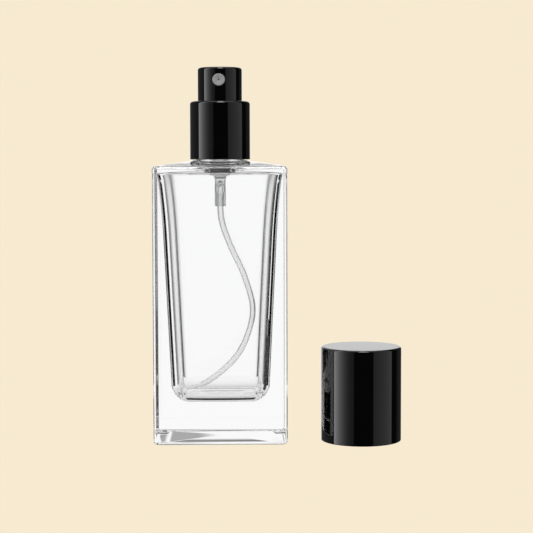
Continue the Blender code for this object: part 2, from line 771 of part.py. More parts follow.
def main():
    clear_scene()
    parts = new_collection("aftershave bottle")
    cutters = new_collection("cutters")

    glass = new_material("clear_glass", (0.97, 0.98, 0.98), 0.02, transmission=1.0, ior=1.52)
    collar_black = new_material("collar_black", (0.006, 0.006, 0.007), 0.08)
    button_black = new_material("button_black", (0.006, 0.006, 0.007), 0.08)
    cap_black = new_material("cap_black", (0.006, 0.006, 0.007), 0.08)
    liner_black = new_material("liner_black", (0.015, 0.015, 0.016), 0.45)
    core_black = new_material("core_black", (0.015, 0.015, 0.016), 0.45)
    nozzle_grey = new_material("nozzle_grey", (0.45, 0.45, 0.45), 0.35)
    frosted = new_material("frosted_plastic", (0.82, 0.82, 0.82), 0.4, transmission=0.7, ior=1.49)
    tube_clear = new_material("tube_plastic", (0.85, 0.85, 0.85), 0.3, transmission=0.8, ior=1.5)
    turret_white = new_material("turret_plastic", (0.75, 0.75, 0.74), 0.4)
    stem_white = new_material("stem_plastic", (0.75, 0.75, 0.74), 0.35)
    valve_white = new_material("valve_plastic", (0.70, 0.70, 0.70), 0.4)
    piston_white = new_material("piston_plastic", (0.78, 0.78, 0.77), 0.5)
    aluminium = new_material("aluminium", (0.80, 0.80, 0.81), 0.3, metallic=1.0)
    spring_steel = new_material("spring_steel", (0.62, 0.62, 0.63), 0.25, metallic=1.0)
    preload_steel = new_material("preload_steel", (0.62, 0.62, 0.63), 0.25, metallic=1.0)
    ball_steel = new_material("ball_steel", (0.70, 0.70, 0.71), 0.12, metallic=1.0)
    gasket_rubber = new_material("gasket_rubber", (0.55, 0.55, 0.53), 0.7)
    seal_rubber = new_material("seal_rubber", (0.08, 0.08, 0.08), 0.7)

    make_bottle(parts, glass)
    make_gasket(parts, gasket_rubber)
    make_housing(parts, frosted)
    make_turret(parts, turret_white)
    make_stem_gasket(parts, seal_rubber)
    make_ferrule(parts, aluminium)
    make_collar(parts, collar_black)
    make_dip_tube(parts, tube_clear)

    make_inlet_ball(parts, ball_steel)
    make_return_spring(parts, spring_steel)
    make_preload_spring(parts, preload_steel)
    plunger = new_empty("plunger_axis", (0.0, 0.0, 0.0), 0.0, parts)
    make_valve_core(parts, valve_white, plunger)
    make_piston(parts, piston_white, plunger)
    make_stem(parts, stem_white, plunger)

    button = new_empty("button_axis", (0.0, 0.0, BUTTON_BOTTOM_Z), BUTTON_TURN, parts)
    make_actuator_shell(parts, cutters, button_black, button)
    make_actuator_core(parts, cutters, core_black, button)
    make_nozzle_insert(parts, nozzle_grey, button)

    cap = new_empty("cap_axis", (CAP_X, CAP_Y, 0.0), 0.0, parts)
    make_cap(parts, cap_black, liner_black, cap)


main()
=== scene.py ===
"""The looks of the aftershave bottle: clear glass, a glossy black pump and a glossy black cap."""

import math

import bmesh
import bpy
from mathutils import Matrix, Vector


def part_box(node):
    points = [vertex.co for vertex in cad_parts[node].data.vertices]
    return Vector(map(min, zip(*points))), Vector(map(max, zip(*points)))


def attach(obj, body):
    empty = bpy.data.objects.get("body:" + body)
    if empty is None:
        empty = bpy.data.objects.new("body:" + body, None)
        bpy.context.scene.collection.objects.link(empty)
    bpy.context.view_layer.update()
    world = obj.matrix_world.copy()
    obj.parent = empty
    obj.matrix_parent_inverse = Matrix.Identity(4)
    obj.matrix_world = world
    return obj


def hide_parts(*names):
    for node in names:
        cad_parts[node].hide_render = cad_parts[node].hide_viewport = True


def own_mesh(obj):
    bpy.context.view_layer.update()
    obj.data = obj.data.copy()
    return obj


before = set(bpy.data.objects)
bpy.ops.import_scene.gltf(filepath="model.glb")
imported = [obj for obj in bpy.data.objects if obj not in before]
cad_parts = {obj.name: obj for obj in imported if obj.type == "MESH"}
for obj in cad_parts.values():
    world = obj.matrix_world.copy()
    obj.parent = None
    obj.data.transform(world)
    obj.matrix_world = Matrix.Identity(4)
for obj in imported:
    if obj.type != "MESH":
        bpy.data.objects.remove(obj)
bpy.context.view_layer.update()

MM = 0.001


# ---------------------------------------------------------------- sizes read from the frame


def span(node):
    """Centre x, centre y, half width, bottom and top of a CAD node."""
    low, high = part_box(node)
    return (low.x + high.x) / 2, (low.y + high.y) / 2, (high.x - low.x) / 2, low.z, high.z


# The high corner of the glass, whose box is centred on the axis
HALF_WIDTH, HALF_DEPTH, MOUTH_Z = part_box("bottle_glass")[1]


# ---------------------------------------------------------------- camera

LENS = 104.43
SENSOR_WIDTH = 36.0
CAMERA_PLACE = (4.97 * MM, -466.8 * MM, 84.5 * MM)
CAMERA_PAN = math.radians(-1.094)
CAMERA_TILT = math.radians(90 - 4.08)
CAMERA_ROLL = math.radians(-0.129)


def make_camera():
    """The photograph's view: a little above the shoulder's height, a little to the right of the bottle."""
    data = bpy.data.cameras.new("camera")
    data.lens = LENS
    data.sensor_width = SENSOR_WIDTH
    data.clip_start = 0.01
    data.clip_end = 20.0
    camera = bpy.data.objects.new("camera", data)
    bpy.context.scene.collection.objects.link(camera)
    pan = Matrix.Rotation(CAMERA_PAN, 4, "Z")
    tilt = Matrix.Rotation(CAMERA_TILT, 4, "X")
    roll = Matrix.Rotation(CAMERA_ROLL, 4, "Z")
    camera.matrix_world = Matrix.Translation(CAMERA_PLACE) @ pan @ tilt @ roll
    bpy.context.scene.camera = camera


# ---------------------------------------------------------------- node tools


class Nodes:
    """A node tree with short calls for the maths that the materials and the world share."""

    def __init__(self, tree):
        self.tree = tree

    def add(self, kind, **settings):
        node = self.tree.nodes.new(kind)
        for name, value in settings.items():
            setattr(node, name, value)
        return node

    def put(self, socket, value):
        if isinstance(value, bpy.types.NodeSocket):
            self.tree.links.new(value, socket)
        else:
            socket.default_value = value

    def math(self, operation, a, b=0.0):
        node = self.add("ShaderNodeMath", operation=operation)
        self.put(node.inputs[0], a)
        self.put(node.inputs[1], b)
        return node.outputs[0]

    def product(self, result, *factors):
        for factor in factors:
            result = self.math("MULTIPLY", result, factor)
        return result

    def total(self, result, *terms):
        for term in terms:
            result = self.math("ADD", result, term)
        return result

    def dimmed(self, light, share, where):
        """The light, less this share of it, where the mask is 1."""
        return self.product(light, self.math("SUBTRACT", 1.0, self.product(where, share)))

    def ramp(self, value, low, high, to_low=0.0, to_high=1.0, smooth=True):
        node = self.add("ShaderNodeMapRange", interpolation_type="SMOOTHSTEP" if smooth else "LINEAR")
        self.put(node.inputs["Value"], value)
        for name, number in zip(("From Min", "From Max", "To Min", "To Max"), (low, high, to_low, to_high)):
            node.inputs[name].default_value = number
        return node.outputs["Result"]

    def band(self, value, low, high, soft):
        """1 between low and high, 0 outside, with soft edges."""
        rise = self.ramp(value, low - soft, low + soft)
        fall = self.ramp(value, high - soft, high + soft, 1.0, 0.0)
        return self.product(rise, fall)

    def mix(self, share, a, b):
        node = self.add("ShaderNodeMix", data_type="FLOAT")
        self.put(node.inputs[0], share)
        self.put(node.inputs[2], a)
        self.put(node.inputs[3], b)
        return node.outputs[0]

    def noise(self, scale, detail, vector=None):
        if vector is None:
            vector = self.add("ShaderNodeTexCoord").outputs["Object"]
        node = self.add("ShaderNodeTexNoise")
        node.inputs["Scale"].default_value = scale
        node.inputs["Detail"].default_value = detail
        self.tree.links.new(vector, node.inputs["Vector"])
        return node.outputs[0]


# ---------------------------------------------------------------- light

BACKDROP = (0.930, 0.823, 0.631)

# All angles of the studio are in degrees. Azimuths count from the side that the nozzle faces, positive
# towards the cap's side, and elevations from the horizon. Three values are a patch: from, to and the
# softness of its edges. Two are where a ramp starts and ends, and four add its level at each end.

# What the black gloss reflects
BOX_HEIGHT = (-30.0, 50.0, 3.0)
LEFT_BOX = (-88.0, -25.0, 1.0)
LEFT_FALLOFF = 2.4
LEFT_PEAK = 5.2
LEFT_BASE = 0.25
RIGHT_BOX = (31.0, 93.0, 1.5)
RIGHT_SHADING = (29.0, 91.0, 0.40, 0.92)
REAR_BOX = (163.0, 400.0, 3.0)
REAR_HEIGHT = (-30.0, 60.0, 4.0)
REAR_LIGHT = 1.4
TOP_BOX = (-14.0, 24.0, 4.0)
TOP_HEIGHT = (45.0, 80.0, 4.0)
TOP_LIGHT = 9.0
CEILING_START = (48.0, 70.0)
CEILING_LIGHT = 1.6
LEFT_WALL = (-165.0, -92.0, 4.0)
LEFT_WALL_LIGHT = 0.16
RIGHT_WALL = (118.0, 165.0, 6.0)
RIGHT_WALL_LIGHT = 0.08

# What shows through the glass
ROOM_LIGHT = 1.24
FLAG_HEIGHT = (-19.0, 20.0, 1.5)
FLAG_START = (99.0, 105.0)
FLAG_END = (144.0, 171.0)
BACKDROP_EDGE = (148.0, 158.0)
ABOVE_BACKDROP = (18.0, 75.0, 2.0)
ABOVE_BACKDROP_SHADE = 0.8
TABLE_SHADE = (-42.0, -12.0, 0.72, 1.0)
UNDERSIDE_SHADE = (-76.0, -56.0, 0.02, 1.0)
CAP_SIDE_FLAG = (60.0, 90.0, 2.0)
CAP_SIDE_FLAG_HEIGHT = (-30.0, 14.0, 3.0)
GREY_CARD = (-178.7, -174.0, 0.8)
GREY_CARD_HEIGHT = (8.5, 14.0, 1.0)
GREY_CARD_SHADE = 0.6

# What lights the matt pieces
SOFT_LIGHT = (-60.0, 60.0, 0.5, 1.4)


def gloss_light(n, azimuth, elevation, turned_away):
    """Soft boxes left, right, behind and above, and two dim walls."""
    tall = n.band(elevation, *BOX_HEIGHT)
    left_power = n.math("POWER", n.ramp(azimuth, *LEFT_BOX[:2], 1.0, 0.0, smooth=False), LEFT_FALLOFF)
    left_level = n.total(n.product(left_power, LEFT_PEAK), LEFT_BASE)
    left = n.product(n.band(azimuth, *LEFT_BOX), tall, left_level)
    right = n.product(n.band(azimuth, *RIGHT_BOX), tall, n.ramp(azimuth, *RIGHT_SHADING, smooth=False))
    rear = n.product(n.band(turned_away, *REAR_BOX), n.band(elevation, *REAR_HEIGHT), REAR_LIGHT)
    top = n.product(n.band(azimuth, *TOP_BOX), n.band(elevation, *TOP_HEIGHT), TOP_LIGHT)
    ceiling = n.product(n.ramp(elevation, *CEILING_START), CEILING_LIGHT)
    left_wall = n.product(n.band(azimuth, *LEFT_WALL), LEFT_WALL_LIGHT)
    right_wall = n.product(n.band(azimuth, *RIGHT_WALL), RIGHT_WALL_LIGHT)
    walls = n.product(n.total(left_wall, right_wall), tall)
    return n.total(left, right, rear, top, ceiling, walls)


def light_through_glass(n, azimuth, elevation, turned_away):
    """A pale room with dark flags in it, dim above the backdrop and under the table."""
    # two flags, one on either side, that fade out towards the backdrop
    flags = n.product(n.ramp(turned_away, *FLAG_START), n.ramp(turned_away, *FLAG_END, 1.0, 0.0))
    through = n.mix(n.product(flags, n.band(elevation, *FLAG_HEIGHT)), ROOM_LIGHT, 0.0)
    above = n.product(n.ramp(turned_away, *BACKDROP_EDGE), n.band(elevation, *ABOVE_BACKDROP))
    through = n.dimmed(through, ABOVE_BACKDROP_SHADE, above)
    through = n.product(through, n.ramp(elevation, *TABLE_SHADE), n.ramp(elevation, *UNDERSIDE_SHADE))
    # a flag on the cap's side, which the far left corner turns towards the eye as a black line
    beside = n.product(n.band(azimuth, *CAP_SIDE_FLAG), n.band(elevation, *CAP_SIDE_FLAG_HEIGHT))
    through = n.dimmed(through, 1.0, beside)
    # a grey card behind the bottle on the left, which only the glass at the foot picks up
    card = n.product(n.band(azimuth, *GREY_CARD), n.band(elevation, *GREY_CARD_HEIGHT))
    return n.dimmed(through, GREY_CARD_SHADE, card)


def make_world():
    """A cream backdrop for the eye, and a studio for reflections, for the glass and for the matt pieces."""
    world = bpy.data.worlds.new("studio")
    bpy.context.scene.world = world
    world.use_nodes = True
    tree = world.node_tree
    tree.nodes.clear()
    n = Nodes(tree)
    axes = n.add("ShaderNodeSeparateXYZ")
    tree.links.new(n.add("ShaderNodeTexCoord").outputs["Generated"], axes.inputs[0])
    x, y, z = axes.outputs
    azimuth = n.product(n.math("ARCTAN2", x, n.product(y, -1.0)), 180 / math.pi)
    elevation = n.product(n.math("ARCSINE", z), 180 / math.pi)
    turned_away = n.math("ABSOLUTE", azimuth)

    # a refracted ray counts as glossy too, so the test for transmission comes last
    path = n.add("ShaderNodeLightPath")
    gloss = gloss_light(n, azimuth, elevation, turned_away)
    seen = n.mix(path.outputs["Is Glossy Ray"], n.ramp(elevation, *SOFT_LIGHT), gloss)
    through = light_through_glass(n, azimuth, elevation, turned_away)
    seen = n.mix(path.outputs["Is Transmission Ray"], seen, through)
    studio = n.add("ShaderNodeBackground")
    n.put(studio.inputs["Strength"], seen)
    cream = n.add("ShaderNodeBackground")
    cream.inputs["Color"].default_value = (*BACKDROP, 1.0)
    choose = n.add("ShaderNodeMixShader")
    n.put(choose.inputs[0], path.outputs["Is Camera Ray"])
    n.put(choose.inputs[1], studio.outputs[0])
    n.put(choose.inputs[2], cream.outputs[0])
    out = n.add("ShaderNodeOutputWorld")
    n.put(out.inputs["Surface"], choose.outputs[0])


FLOOR_SIZE = 3.0
FLOOR_Z = -0.2 * MM


def make_floor():
    """A plain pale floor that only the eye sees, so it casts nothing into the glass."""
    mesh = bpy.data.meshes.new("floor")
    shape = bmesh.new()
    bmesh.ops.create_grid(shape, x_segments=1, y_segments=1, size=FLOOR_SIZE)
    shape.to_mesh(mesh)
    shape.free()
    floor = bpy.data.objects.new("floor", mesh)
    floor.location.z = FLOOR_Z
    bpy.context.scene.collection.objects.link(floor)
    material = bpy.data.materials.new("floor_cream")
    material.use_nodes = True
    material.node_tree.nodes.clear()
    n = Nodes(material.node_tree)
    glow = n.add("ShaderNodeEmission")
    glow.inputs["Color"].default_value = (*BACKDROP, 1.0)
    out = n.add("ShaderNodeOutputMaterial")
    n.put(out.inputs["Surface"], glow.outputs[0])
    mesh.materials.append(material)
    floor.visible_diffuse = False
    floor.visible_glossy = False
    floor.visible_transmission = False
    floor.visible_shadow = False


def set_light_paths():
    """Enough bounces for the light to pass through the bottle's many walls, and plain colours."""
    cycles = bpy.context.scene.cycles
    cycles.max_bounces = 32
    cycles.transmission_bounces = 24
    cycles.glossy_bounces = 12
    cycles.diffuse_bounces = 4
    cycles.transparent_max_bounces = 16
    cycles.sample_clamp_indirect = 8.0
    cycles.use_denoising = True
    bpy.context.scene.view_settings.view_transform = "Standard"
    bpy.context.scene.view_settings.look = "None"


# ---------------------------------------------------------------- materials


def new_material(name, colour, roughness, metallic=0.0, transmission=0.0, ior=1.5):
    material = bpy.data.materials.new(name)
    material.use_nodes = True
    tree = material.node_tree
    shader = tree.nodes["Principled BSDF"]
    shader.inputs["Base Color"].default_value = (*colour, 1.0)
    shader.inputs["Roughness"].default_value = roughness
    shader.inputs["Metallic"].default_value = metallic
    shader.inputs["Transmission Weight"].default_value = transmission
    shader.inputs["IOR"].default_value = ior
    return material, Nodes(tree), shader


def bump(n, shader, height, strength, distance):
    node = n.add("ShaderNodeBump")
    node.inputs["Strength"].default_value = strength
    node.inputs["Distance"].default_value = distance
    n.put(node.inputs["Height"], height)
    n.put(shader.inputs["Normal"], node.outputs[0])


def vary_colour(n, shader, factor, low, high):
    node = n.add("ShaderNodeMix", data_type="RGBA")
    n.put(node.inputs[0], factor)
    node.inputs[6].default_value = (*low, 1.0)
    node.inputs[7].default_value = (*high, 1.0)
    n.put(shader.inputs["Base Color"], node.outputs[2])


def vary_roughness(n, shader, factor, low, high):
    """The noise between 0.3 and 0.7, where most of it lies, spread from the low to the high roughness."""
    n.put(shader.inputs["Roughness"], n.ramp(factor, 0.3, 0.7, low, high))


def glass_material():
    """Colourless glass: polished outside, with the faint slow ripple that blowing leaves."""
    material, n, shader = new_material("clear_glass", (1.0, 1.0, 1.0), 0.0, transmission=1.0, ior=1.52)
    bump(n, shader, n.noise(60.0, detail=1.0), 0.01, 0.0002)
    vary_colour(n, shader, n.noise(25.0, detail=0.0), (0.994, 0.997, 0.996), (1.0, 1.0, 1.0))
    return material


def gloss_black_material(name):
    """Moulded black gloss: deep colour, a trace of orange peel and of haze."""
    material, n, shader = new_material(name, (0.002, 0.002, 0.0022), 0.03, ior=1.5)
    peel = n.noise(900.0, detail=2.0)
    haze = n.noise(120.0, detail=4.0)
    vary_roughness(n, shader, haze, 0.02, 0.05)
    vary_colour(n, shader, haze, (0.0015, 0.0015, 0.0017), (0.0030, 0.0030, 0.0032))
    bump(n, shader, peel, 0.02, 0.00002)
    return material


def satin_material(name, low, high, roughness, grain=3000.0, transmission=0.0, ior=1.49):
    """Moulded plastic or rubber with a fine grain and a little colour variation."""
    material, n, shader = new_material(name, low, roughness, transmission=transmission, ior=ior)
    mottle = n.noise(200.0, detail=3.0)
    vary_colour(n, shader, mottle, low, high)
    vary_roughness(n, shader, mottle, roughness * 0.85, min(1.0, roughness * 1.15))
    bump(n, shader, n.noise(grain, detail=2.0), 0.25, 0.00002)
    return material


def metal_material(name, low, high, roughness, stretch=40.0):
    """Drawn or pressed metal, with fine lines that follow the way it was worked."""
    material, n, shader = new_material(name, low, roughness, metallic=1.0)
    stretched = n.add("ShaderNodeMapping")
    stretched.inputs["Scale"].default_value = (1.0, 1.0, stretch)
    n.put(stretched.inputs["Vector"], n.add("ShaderNodeTexCoord").outputs["Object"])
    lines = n.noise(300.0, detail=4.0, vector=stretched.outputs[0])
    vary_colour(n, shader, lines, low, high)
    vary_roughness(n, shader, lines, roughness * 0.8, roughness * 1.2)
    bump(n, shader, lines, 0.15, 0.00001)
    return material


# ---------------------------------------------------------------- mesh tools

ROUND_STEPS = 128
SMALL_ROUND_STEPS = 72


def arc(centre_radius, centre_z, radius, start, end, steps=10):
    """Points (radius, z) of a circular arc, with its angles in degrees from the +radius direction."""
    points = []
    for i in range(steps + 1):
        angle = math.radians(start + (end - start) * i / steps)
        points.append((centre_radius + radius * math.cos(angle), centre_z + radius * math.sin(angle)))
    return points


def mesh_from(name, shape):
    mesh = bpy.data.meshes.new(name)
    shape.to_mesh(mesh)
    shape.free()
    return mesh


def link(name, mesh, material, sharp=30.0):
    mesh.shade_smooth()
    mesh.set_sharp_from_angle(angle=math.radians(sharp))
    mesh.materials.append(material)
    piece = bpy.data.objects.new(name, mesh)
    bpy.context.scene.collection.objects.link(piece)
    weighted = piece.modifiers.new("Flat faces stay flat", "WEIGHTED_NORMAL")
    weighted.keep_sharp = True
    weighted.weight = 100
    return piece


def turned_mesh(name, profile, closed=True, steps=ROUND_STEPS):
    """A turned skin. The profile runs down the outer side and up the inner side, as (radius, z) points."""
    shape = bmesh.new()
    turns = [math.tau * i / steps for i in range(steps)]
    rows = []
    for radius, z in profile:
        if radius == 0.0:
            rows.append([shape.verts.new((0.0, 0.0, z))])
        else:
            rows.append([shape.verts.new((radius * math.cos(t), radius * math.sin(t), z)) for t in turns])
    pairs = list(zip(rows, rows[1:]))
    if closed:
        pairs.append((rows[-1], rows[0]))
    for upper, lower in pairs:
        for i in range(steps):
            j = (i + 1) % steps
            corners = [(upper, i), (lower, i), (lower, j), (upper, j)]
            unique = list(dict.fromkeys(row[k % len(row)] for row, k in corners))
            if len(unique) > 2:
                shape.faces.new(unique)
    return mesh_from(name, shape)


def turned(name, profile, material, x, y, closed=True, steps=ROUND_STEPS):
    piece = link(name, turned_mesh(name, profile, closed, steps), material)
    piece.location = (x, y, 0.0)
    return piece


def tube_mesh(name, route, radii, sides=24):
    """A skin around a route: solid with one radius; hollow with two, out along the first and back along the
    second."""
    shape = bmesh.new()
    rows = []
    side = Vector((0.0, 1.0, 0.0))
    for number, radius in enumerate(radii):
        along = list(range(len(route)))
        if number % 2:
            along.reverse()
        for i in along:
            before, after = route[max(i - 1, 0)], route[min(i + 1, len(route) - 1)]
            forward = (after - before).normalized()
            across = (side - forward * side.dot(forward)).normalized()
            third = forward.cross(across)
            ring = []
            for k in range(sides):
                turn = math.tau * k / sides
                spoke = math.cos(turn) * across + math.sin(turn) * third
                ring.append(shape.verts.new(route[i] + radius * spoke))
            rows.append(ring)
    pairs = list(zip(rows, rows[1:]))
    if len(radii) > 1:
        pairs.append((rows[-1], rows[0]))
    for a, b in pairs:
        for k in range(sides):
            m = (k + 1) % sides
            shape.faces.new((a[k], a[m], b[m], b[k]))
    if len(radii) == 1:
        shape.faces.new(rows[0])
        shape.faces.new(list(reversed(rows[-1])))
    bmesh.ops.recalc_face_normals(shape, faces=shape.faces)
    return mesh_from(name, shape)


def smooth_route(corners, step):
    """Points about a step apart on a Catmull-Rom curve through the corners."""
    padded = [2 * corners[0] - corners[1], *corners, 2 * corners[-1] - corners[-2]]
    points = [corners[0]]
    for before, start, end, after in zip(padded, padded[1:], padded[2:], padded[3:]):
        count = max(1, round((end - start).length / step))
        for i in range(1, count + 1):
            t = i / count
            bend = 2 * before - 5 * start + 4 * end - after
            twist = 3 * start - before - 3 * end + after
            points.append(0.5 * (2 * start + (end - before) * t + bend * t**2 + twist * t**3))
    return points


# ---------------------------------------------------------------- glass

# Points of each ring: in one flat half side, in one corner, and in the whole ring
FLAT_POINTS = 10
CORNER_POINTS = 24
QUARTER_POINTS = 2 * FLAT_POINTS + CORNER_POINTS
RING_POINTS = 4 * QUARTER_POINTS

# Outside
CORNER = 0.8 * MM
EDGE = 1.2 * MM
SHOULDER_Z = 81.8 * MM
SHOULDER_RINGS = 12
FOOT_WIDTH = 1.8 * MM
PANEL_RISE = 0.5 * MM
PANEL_SLOPE = 1.2 * MM
PANEL_DOME = 0.45 * MM
PANEL_RINGS = 12

# Neck
NECK_ROOT_RADIUS = 9.0 * MM
NECK_ROOT_Z = 83.1 * MM
NECK_RADIUS = 6.3 * MM
BEAD_RADIUS = 7.4 * MM
BEAD_BOTTOM_Z = 87.4 * MM
BORE_RADIUS = 4.4 * MM
BORE_FOOT_RADIUS = BORE_RADIUS + 2.6 * MM

# Cavity
CAVITY_FLOOR_Z = 12.0 * MM
CAVITY_TOP_Z = 79.8 * MM
CAVITY_HALF_WIDTH = 14.4 * MM
CAVITY_HALF_DEPTH = 12.5 * MM
CAVITY_TAPER_X = 0.0483
CAVITY_TAPER_Y = 0.0350
CAVITY_CORNER = 4.2 * MM
FLARE_START_Z = 60.0 * MM
FLARE_HEIGHT = 20.0 * MM
FLARE_X = 0.9 * MM
FLARE_Y = 0.5 * MM
TOP_FILLET = 0.8 * MM
BORE_FOOT_Z = CAVITY_TOP_Z + 0.5 * MM
CEILING_RINGS = 8
WALL_RINGS = 40

# The fillet around the cavity's floor, and how far it draws in the width, the depth and the corners
FLOOR_FILLET = 5.6 * MM
FLOOR_FILLET_STEPS = 16
FLOOR_FILLET_X = 0.8
FLOOR_FILLET_Y = 0.6
FLOOR_FILLET_CORNER = 0.6

# How far from a corner the cavity's sides ease in, and by how much
EASE_REACH = 8.0 * MM
EASE_DEPTH = 0.35 * MM


def all_round(quarter, z):
    """A closed ring from the points of its first quarter, mirrored into the other three."""
    back = list(reversed(quarter))
    flat = quarter + [(-x, y) for x, y in back] + [(-x, -y) for x, y in quarter] + [(x, -y) for x, y in back]
    return [Vector((x, y, z)) for x, y in flat]


def rounded_rectangle(half_x, half_y, corner, z):
    centre_x, centre_y = half_x - corner, half_y - corner
    quarter = []
    for i in range(FLAT_POINTS):
        quarter.append((half_x, centre_y * (i + 0.5) / FLAT_POINTS))
    for i in range(CORNER_POINTS):
        angle = math.radians(90 * (i + 0.5) / CORNER_POINTS)
        quarter.append((centre_x + corner * math.cos(angle), centre_y + corner * math.sin(angle)))
    for i in range(FLAT_POINTS):
        quarter.append((centre_x * (1.0 - (i + 0.5) / FLAT_POINTS), half_y))
    return all_round(quarter, z)


def circle(radius, z):
    quarter = []
    for i in range(QUARTER_POINTS):
        angle = math.radians(90 * (i + 0.5) / QUARTER_POINTS)
        quarter.append((radius * math.cos(angle), radius * math.sin(angle)))
    return all_round(quarter, z)


def eased(ring, half_x, half_y):
    """The ring with its four sides drawn in a little towards the corners, as blown glass is."""
    points = []
    for point in ring:
        along_x = max(0.0, (abs(point.x) - half_x + EASE_REACH) / EASE_REACH)
        along_y = max(0.0, (abs(point.y) - half_y + EASE_REACH) / EASE_REACH)
        x = point.x * (1.0 - EASE_DEPTH * along_y**2 / half_x)
        y = point.y * (1.0 - EASE_DEPTH * along_x**2 / half_y)
        points.append(Vector((x, y, point.z)))
    return points


def cavity_ring(half_x, half_y, corner, z):
    return eased(rounded_rectangle(half_x, half_y, corner, z), half_x, half_y)


def between(a, b, share):
    return [p.lerp(q, share) for p, q in zip(a, b)]


def body_rings():
    """The outside, from the middle of the domed panel under the base up to the root of the neck."""
    foot = EDGE + FOOT_WIDTH
    panel = foot + PANEL_SLOPE
    rings = []
    for i in range(1, PANEL_RINGS + 1):
        share = i / PANEL_RINGS
        rise = PANEL_RISE + PANEL_DOME * (1.0 - share**2)
        half_x = share * (HALF_WIDTH - panel)
        half_y = share * (HALF_DEPTH - panel)
        rings.append(rounded_rectangle(half_x, half_y, min(CORNER, half_x / 2), rise))
    rings.append(rounded_rectangle(HALF_WIDTH - foot, HALF_DEPTH - foot, CORNER, 0.0))
    for start, end, edge_z in ((-90, 0, EDGE), (0, 90, SHOULDER_Z - EDGE)):
        for out, up in arc(0.0, 0.0, EDGE, start, end):
            side = out - EDGE
            rings.append(rounded_rectangle(HALF_WIDTH + side, HALF_DEPTH + side, CORNER, edge_z + up))
    edge = rings[-1]
    root = circle(NECK_ROOT_RADIUS, NECK_ROOT_Z)
    rings += [between(edge, root, i / SHOULDER_RINGS) for i in range(1, SHOULDER_RINGS)]
    rings.append(root)
    return rings


def neck_rings():
    """Up the neck and over its bead, then down the bore to where it flares into the cavity's ceiling."""
    profile = [
        (NECK_RADIUS + 1.0 * MM, NECK_ROOT_Z + 0.3 * MM),
        (NECK_RADIUS, NECK_ROOT_Z + 1.2 * MM),
        (NECK_RADIUS, BEAD_BOTTOM_Z - 0.5 * MM),
        (BEAD_RADIUS, BEAD_BOTTOM_Z + 0.4 * MM),
        (BEAD_RADIUS, MOUTH_Z - 0.7 * MM),
        (BEAD_RADIUS - 0.6 * MM, MOUTH_Z),
        (BORE_RADIUS + 0.3 * MM, MOUTH_Z),
        (BORE_RADIUS, MOUTH_Z - 0.3 * MM),
        (BORE_RADIUS, CAVITY_TOP_Z + 2.6 * MM),
        (BORE_RADIUS + 0.3 * MM, CAVITY_TOP_Z + 1.9 * MM),
        (BORE_RADIUS + 0.9 * MM, CAVITY_TOP_Z + 1.2 * MM),
        (BORE_RADIUS + 1.7 * MM, CAVITY_TOP_Z + 0.75 * MM),
        (BORE_FOOT_RADIUS, BORE_FOOT_Z),
    ]
    return [circle(radius, z) for radius, z in profile]


def cavity_half_sizes(z):
    rise = z - CAVITY_FLOOR_Z
    flare = max(0.0, (z - FLARE_START_Z) / FLARE_HEIGHT) ** 2
    half_x = CAVITY_HALF_WIDTH + CAVITY_TAPER_X * rise + FLARE_X * flare
    half_y = CAVITY_HALF_DEPTH + CAVITY_TAPER_Y * rise + FLARE_Y * flare
    return half_x, half_y


def cavity_rings():
    """The cavity, from the foot of the bore over its ceiling and down its walls to its floor."""
    top_x, top_y = cavity_half_sizes(CAVITY_TOP_Z)
    wall_top = CAVITY_TOP_Z - TOP_FILLET
    wall_foot = CAVITY_FLOOR_Z + FLOOR_FILLET
    low_x, low_y = cavity_half_sizes(wall_foot)
    inner = circle(BORE_FOOT_RADIUS, BORE_FOOT_Z)
    brim = cavity_ring(top_x - TOP_FILLET, top_y - TOP_FILLET, CAVITY_CORNER, CAVITY_TOP_Z)
    rings = [between(inner, brim, i / CEILING_RINGS) for i in range(1, CEILING_RINGS)]
    for out, up in arc(0.0, 0.0, TOP_FILLET, 90, 0):
        side = out - TOP_FILLET
        rings.append(cavity_ring(top_x + side, top_y + side, CAVITY_CORNER, wall_top + up))
    for i in range(1, WALL_RINGS + 1):
        z = wall_top + (wall_foot - wall_top) * i / WALL_RINGS
        rings.append(cavity_ring(*cavity_half_sizes(z), CAVITY_CORNER, z))
    for out, up in arc(0.0, 0.0, FLOOR_FILLET, 0, -90, FLOOR_FILLET_STEPS)[1:]:
        side = out - FLOOR_FILLET
        half_x = low_x + side * FLOOR_FILLET_X
        half_y = low_y + side * FLOOR_FILLET_Y
        rings.append(cavity_ring(half_x, half_y, CAVITY_CORNER + side * FLOOR_FILLET_CORNER, wall_foot + up))
    return rings


def make_glass():
    """One closed skin: the outside, the neck and the cavity, ring after ring."""
    shape = bmesh.new()
    rows = [[shape.verts.new(p) for p in ring] for ring in body_rings() + neck_rings() + cavity_rings()]
    for lower, upper in zip(rows, rows[1:]):
        for i in range(RING_POINTS):
            j = (i + 1) % RING_POINTS
            shape.faces.new((lower[i], lower[j], upper[j], upper[i]))
    shape.faces.new(list(reversed(rows[0])))
    shape.faces.new(rows[-1])
    piece = link("glass_body", mesh_from("glass_body", shape), glass_material(), sharp=40.0)
    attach(piece, "bottle")
    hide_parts("bottle_glass")


# ---------------------------------------------------------------- collar

SMALL_FILLET = 0.15 * MM
COLLAR_FILLET = 0.9 * MM
COLLAR_WALL = 0.75 * MM
COLLAR_ROOF = 0.9 * MM
COLLAR_HOLE = 6.9 * MM
COLLAR_HOLE_FILLET = 0.2 * MM


def foot_arc(radius, bottom, fillet=SMALL_FILLET, steps=4):
    """The rounded outer edge at the foot of a sleeve or a cup."""
    return arc(radius - fillet, bottom + fillet, fillet, 0, -90, steps)


